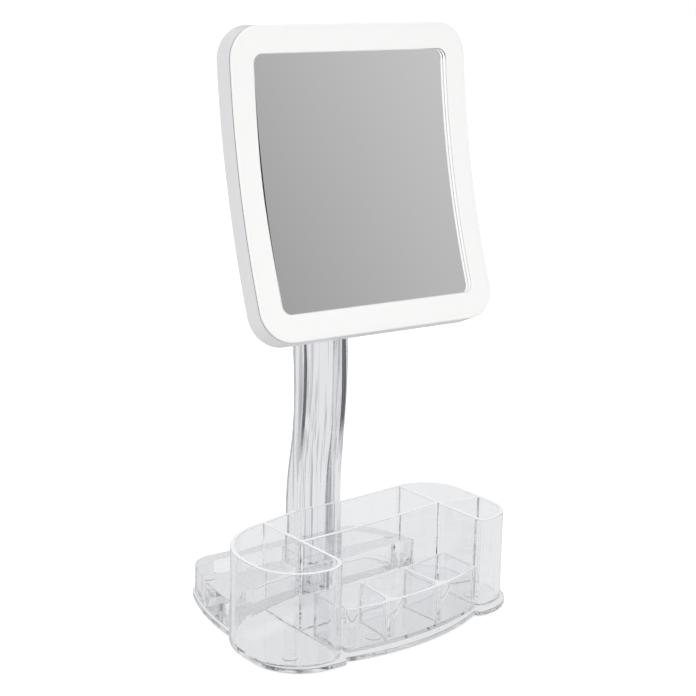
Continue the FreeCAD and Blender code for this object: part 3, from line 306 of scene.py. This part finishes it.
def clear_rubber():
    """Soft clear bumpers, a little cloudy."""
    material, tree, output = new_material("clear_rubber")
    shader = principled(tree, Base_Color=(0.98, 0.98, 0.99, 1.0), Transmission_Weight=1.0, IOR=1.4)
    tree.links.new(map_range(tree, noise(tree, 400.0), 0.3, 0.7, 0.1, 0.2), shader.inputs["Roughness"])
    finish(tree, output, let_through(tree, shader.outputs[0]))
    return material


# ---------------------------------------------------------------- bezel

# Where the opening's edges are, measured from the bezel's middle. The mirror goes on behind them by the lap, and
# the border is a little wider at the top and the bottom.
BEZEL_LOW, BEZEL_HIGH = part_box("front_bezel")
BEZEL_MIDDLE = (BEZEL_LOW + BEZEL_HIGH) / 2
HALF_WIDTH = (BEZEL_HIGH.x - BEZEL_LOW.x) / 2
HALF_HEIGHT = (BEZEL_HIGH.z - BEZEL_LOW.z) / 2
MIRROR_LAP = 2 * MM
BORDER_SIDE = BEZEL_HIGH.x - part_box("mirror_glass")[1].x + MIRROR_LAP
BORDER_END = BORDER_SIDE + 0.95 * MM
OPENING_RIGHT = HALF_WIDTH - BORDER_SIDE
OPENING_LEFT = -OPENING_RIGHT
OPENING_TOP = HALF_HEIGHT - BORDER_END

# How dark the painted shade lines at the edges are: outside, round the opening, and at its top right corner.
EDGE_DARKNESS = (0.1, 0.95)
ROUND_OPENING = 0.3
GAP_DARKNESS = 0.85
LEFT_LINE = 1.1 * MM
LINE_FADE = 0.2 * MM

# How strongly the bezel glows as painted light: on its face, and on the walls round its opening.
FACE_GLOW = 0.14
WALL_GLOW = 0.5


def across(tree):
    return math_node(tree, "SUBTRACT", object_place(tree, "X"), BEZEL_MIDDLE.x)


def along(tree):
    return math_node(tree, "SUBTRACT", object_place(tree, "Z"), BEZEL_MIDDLE.z)


def near_opening(tree):
    """1 on the inner half of the border, 0 on its outer half."""
    masks = []
    for place, half, border in ((across, HALF_WIDTH, BORDER_SIDE), (along, HALF_HEIGHT, BORDER_END)):
        distance = math_node(tree, "ABSOLUTE", place(tree))
        middle = half - border / 2
        masks.append(map_range(tree, distance, middle - MM, middle + MM, 1.0, 0.0))
    return times(tree, *masks)


def painted_opening_shade(tree):
    """How dark the painted shade at the bezel's edges is: faint outside, clear round the opening, darkest at its top
    right corner.
    """
    corner = times(
        tree,
        map_range(tree, across(tree), OPENING_RIGHT - 25 * MM, OPENING_RIGHT - 6 * MM),
        map_range(tree, along(tree), OPENING_TOP - 8 * MM, OPENING_TOP - 4 * MM),
    )
    strength = math_node(tree, "MAXIMUM", corner, ROUND_OPENING)
    return map_range(tree, times(tree, near_opening(tree), strength), 0.0, 1.0, *EDGE_DARKNESS)


def wall_mask(tree):
    """1 on walls that run front to back, 0 on faces that look forward."""
    forward = math_node(tree, "ABSOLUTE", axis_of(tree, texture_place(tree, "Normal"), "Y"))
    return map_range(tree, forward, 0.5, 0.8, 1.0, 0.0)


def painted_left_shade(tree):
    """The painted shade line on the face down the left of the opening, widest in the middle and gone before both
    ends.
    """
    from_middle = math_node(tree, "ABSOLUTE", along(tree))
    width = map_range(tree, from_middle, HALF_HEIGHT * 0.1, HALF_HEIGHT * 0.75, LEFT_LINE, 0.0)
    from_edge = math_node(tree, "SUBTRACT", OPENING_LEFT, across(tree))
    return times(
        tree,
        map_range(tree, math_node(tree, "SUBTRACT", width, from_edge), 0.0, LINE_FADE),
        map_range(tree, across(tree), OPENING_LEFT + LINE_FADE, OPENING_LEFT + 2 * LINE_FADE, 1.0, 0.0),
        map_range(tree, from_middle, HALF_HEIGHT * 0.6, HALF_HEIGHT * 0.75, 1.0, 0.0),
        opposite(tree, wall_mask(tree)),
    )


def lit_diffuser():
    """White frosted plastic with a painted glow, stronger on the walls round its opening, and painted shade as a
    fine dark line at its edges and in its groove.
    """
    material, tree, output = new_material("lit_diffuser")
    lit = principled(
        tree, Base_Color=(0.80, 0.80, 0.795, 1.0), Roughness=0.35, Emission_Color=(1.0, 1.0, 0.99, 1.0),
        Subsurface_Weight=0.2, Subsurface_Radius=(4 * MM, 4 * MM, 4 * MM), Subsurface_Scale=1.0,
    )
    tree.links.new(bump(tree, noise(tree, 900.0), 0.05 * MM, 0.3), lit.inputs["Normal"])
    # Painted glow: the face glows a little and the walls round the opening more, standing in for how brightly they
    # are lit.
    inner_wall = times(tree, near_opening(tree), wall_mask(tree))
    tree.links.new(map_range(tree, inner_wall, 0.0, 1.0, FACE_GLOW, WALL_GLOW), lit.inputs["Emission Strength"])
    # Painted shade: a near-black finish laid into the groove, along the edges and down the left of the opening.
    shade = principled(tree, Base_Color=grey(0.02), Roughness=0.6)
    groove_shade = opposite(tree, openness(tree, 0.7 * MM, 0.3, 0.6))
    edge_line_shade = times(tree, edge_mask(tree, 1.6 * MM, 0.90, 0.96), painted_opening_shade(tree))
    line = math_node(tree, "MAXIMUM", edge_line_shade, painted_left_shade(tree))
    dark = math_node(tree, "MAXIMUM", times(tree, groove_shade, GAP_DARKNESS), line)
    finish(tree, output, mix_shaders(tree, dark, lit.outputs[0], shade.outputs[0]))
    return material


# ---------------------------------------------------------------- other finishes

def silver_plastic():
    """Silver-grey satin plastic with fine flake, and painted shade that darkens it in its gaps."""
    material, tree, output = new_material("silver_plastic")
    shader = principled(tree, Roughness=0.38, Metallic=0.2, Coat_Weight=0.25, Coat_Roughness=0.2)
    flake = two_tone(tree, noise(tree, 2500.0, 1.0), (0.86, 0.86, 0.875, 1.0), (0.94, 0.94, 0.955, 1.0))
    tree.links.new(flake, shader.inputs["Base Color"])
    tree.links.new(bump(tree, noise(tree, 1800.0), 0.03 * MM, 0.4), shader.inputs["Normal"])
    # Painted shade: a near-black finish where the surface sits in gaps and grooves.
    shade = principled(tree, Base_Color=grey(0.05), Roughness=0.6)
    finish(tree, output, mix_shaders(tree, openness(tree, 1.0 * MM, 0.4, 0.75), shade.outputs[0], shader.outputs[0]))
    return material


def mirror_sheet():
    """A silvered sheet, very slightly uneven."""
    material, tree, output = new_material("mirror_sheet")
    shader = principled(tree, Base_Color=(0.93, 0.93, 0.935, 1.0), Metallic=1.0, Roughness=0.015)
    tree.links.new(bump(tree, noise(tree, 14.0, 1.0), 0.2 * MM, 0.02), shader.inputs["Normal"])
    finish(tree, output, shader.outputs[0])
    return material


def grained(name, colour, roughness, scale=1500.0, metallic=0.0):
    """A moulded, painted or machined surface with a fine uneven grain in its colour, gloss and height."""
    material, tree, output = new_material(name)
    shader = principled(tree, Metallic=metallic)
    grain = noise(tree, scale, 3.0)
    dark = tuple(c * 0.93 for c in colour)
    pale = tuple(min(1.0, c * 1.05) for c in colour)
    tree.links.new(two_tone(tree, grain, (*dark, 1.0), (*pale, 1.0)), shader.inputs["Base Color"])
    gloss = map_range(tree, grain, 0.3, 0.7, roughness * 0.85, roughness * 1.15)
    tree.links.new(gloss, shader.inputs["Roughness"])
    tree.links.new(bump(tree, grain, 0.04 * MM, 0.4), shader.inputs["Normal"])
    finish(tree, output, shader.outputs[0])
    return material


def dress_nodes():
    finishes = (
        (clear_acrylic("clear_acrylic"), ("organiser_base", "drawer_tray")),
        (clear_acrylic("lined_acrylic", lined=True), ("stand_post",)),
        (clear_rubber(), ("foot_pads",)),
        (lit_diffuser(), ("front_bezel",)),
        (mirror_sheet(), ("mirror_glass",)),
        (silver_plastic(), ("rear_housing", "head_knuckle", "battery_box", "battery_door")),
        (grained("white_plastic", (0.85, 0.85, 0.85), 0.4), ("mirror_carrier", "led_strips", "power_button")),
        (grained("black_plastic", (0.03, 0.03, 0.03), 0.45), ("friction_washers", "tact_switch")),
        (grained("foam", (0.2, 0.2, 0.2), 0.9, 700.0), ("mirror_tape",)),
        (grained("led_lens", (0.9, 0.85, 0.5), 0.3), ("leds",)),
        (grained("board", (0.02, 0.18, 0.06), 0.4), ("driver_board",)),
        (grained("cell_steel", (0.12, 0.13, 0.16), 0.35, 900.0, 0.4), ("battery_cells",)),
        (grained("bracket_metal", (0.6, 0.61, 0.62), 0.35, 1200.0, 0.6), ("hinge_bracket",)),
        (grained("steel", (0.62, 0.62, 0.63), 0.22, 3000.0, 1.0), (
            "post_screws", "bracket_screws", "knuckle_screws", "housing_screws", "board_screws",
            "hinge_pin", "hinge_nut", "contact_plates", "contact_springs",
        )),
    )
    for material, names in finishes:
        for name in names:
            mesh = nodes[name].data
            mesh.materials.clear()
            mesh.materials.append(material)


# ---------------------------------------------------------------- stage

FLOOR_SIZE = 12.0
FLOOR_DROP = 0.2 * MM
FLOOR_GLOW = 0.5
PAPER = grey(0.8)
WHITE = grey(1.0)
WORLD_LIGHT = 0.75

# What the clear parts show through themselves: pale near the floor and greyer overhead.
THROUGH_COLOUR = (0.985, 0.99, 1.0, 1.0)
THROUGH_GLOW = 0.88
THROUGH_TOP = 0.45

# A narrow dark screen stands behind the stage to the left. Only light that went through a clear part meets it, so
# it shows as dark bands in the side walls of the post.
SCREEN_WAY = (-0.596, 0.803, 0.0)
SCREEN_EDGES = (0.988, 0.996)
SCREEN_DEPTH = 0.15
SCREEN_STARTS = (0.25, 0.45)

# What gloss and the mirror show: darker higher up, and paler to the right.
REFLECTED_HEIGHT = (-0.13, 0.40, 0.57, 0.42)
REFLECTED_SIDE = (0.53, 0.63, -0.08, 0.08)

# Name, place, width in metres and power in watts.
LAMP_TARGET = Vector((0.0, 0.0, 0.18))
LAMPS = (
    ("key", (-1.2, -0.9, 1.6), 1.0, 10.0),
    ("fill", (0.2, -1.7, 0.9), 1.2, 4.0),
    ("back", (0.4, 1.6, 1.2), 1.2, 8.0),
)

# Light crosses many clear walls before it reaches the white studio.
CLEAR_BOUNCES = 32


def past_screen(tree, place):
    """1 in most directions, and the screen's depth of grey towards the screen."""
    level = vector_math(tree, "NORMALIZE", vector_math(tree, "MULTIPLY", place, (1.0, 1.0, 0.0)))
    towards = vector_math(tree, "DOT_PRODUCT", level, SCREEN_WAY)
    return map_range(tree, towards, *SCREEN_EDGES, 1.0, SCREEN_DEPTH)


def floor_material():
    """White paper: it clips to white but for a soft shadow, and reflections look past it."""
    material, tree, output = new_material("floor")
    path = tree.nodes.new("ShaderNodeLightPath")
    paper = tree.nodes.new("ShaderNodeBsdfDiffuse")
    paper.inputs["Color"].default_value = PAPER
    seen = add_shaders(tree, paper.outputs[0], glow(tree, "ShaderNodeEmission", FLOOR_GLOW, WHITE))
    place = texture_place(tree, "Object")
    before_screen = map_range(tree, vector_math(tree, "DOT_PRODUCT", place, SCREEN_WAY), *SCREEN_STARTS, 1.0, 0.0)
    screened = math_node(tree, "MAXIMUM", before_screen, past_screen(tree, place))
    through = glow(tree, "ShaderNodeEmission", times(tree, screened, THROUGH_GLOW), THROUGH_COLOUR)
    shader = mix_shaders(tree, path.outputs["Is Camera Ray"], paper.outputs[0], seen)
    shader = mix_shaders(tree, path.outputs["Is Glossy Ray"], shader, transparent(tree))
    shader = mix_shaders(tree, path.outputs["Is Transmission Ray"], shader, through)
    finish(tree, output, shader)
    return material


def add_floor():
    mesh = bpy.data.meshes.new("floor")
    half = FLOOR_SIZE / 2
    corners = [(-half, -half, 0), (half, -half, 0), (half, half, 0), (-half, half, 0)]
    mesh.from_pydata(corners, [], [(0, 1, 2, 3)])
    mesh.materials.append(floor_material())
    floor = bpy.data.objects.new("floor", mesh)
    floor.location.z = -FLOOR_DROP
    bpy.context.scene.collection.objects.link(floor)


def set_world():
    """A pale studio all round: white to the camera, and a soft grey fade in reflections."""
    world = bpy.data.worlds.new("studio")
    world.use_nodes = True
    tree = world.node_tree
    tree.nodes.clear()
    output = tree.nodes.new("ShaderNodeOutputWorld")
    path = tree.nodes.new("ShaderNodeLightPath")
    way = texture_place(tree, "Generated")
    x, z = axis_of(tree, way, "X"), axis_of(tree, way, "Z")
    reflected = math_node(tree, "ADD", map_range(tree, z, *REFLECTED_HEIGHT), map_range(tree, x, *REFLECTED_SIDE))
    through = times(tree, map_range(tree, z, 0.0, 0.7, THROUGH_GLOW, THROUGH_TOP), past_screen(tree, way))
    shader = glow(tree, "ShaderNodeBackground", WORLD_LIGHT, WHITE)
    for ray, strength, colour in (
        ("Is Glossy Ray", reflected, WHITE),
        ("Is Transmission Ray", through, THROUGH_COLOUR),
        ("Is Camera Ray", 1.0, WHITE),
    ):
        shader = mix_shaders(tree, path.outputs[ray], shader, glow(tree, "ShaderNodeBackground", strength, colour))
    finish(tree, output, shader)
    bpy.context.scene.world = world


def add_lamps():
    """Disc lamps that light the object but don't show in it."""
    for name, place, width, power in LAMPS:
        light = bpy.data.lights.new(name, "AREA")
        light.shape = "DISK"
        light.size = width
        light.energy = power
        lamp = bpy.data.objects.new(name, light)
        lamp.location = place
        lamp.rotation_euler = (LAMP_TARGET - Vector(place)).to_track_quat("-Z", "Y").to_euler()
        lamp.visible_glossy = False
        lamp.visible_transmission = False
        bpy.context.scene.collection.objects.link(lamp)


add_camera()
dress_nodes()
add_floor()
set_world()
add_lamps()
bpy.context.scene.view_settings.view_transform = "Standard"
for bounces in ("max_bounces", "glossy_bounces", "transmission_bounces"):
    setattr(bpy.context.scene.cycles, bounces, CLEAR_BOUNCES)
bpy.context.view_layer.update()
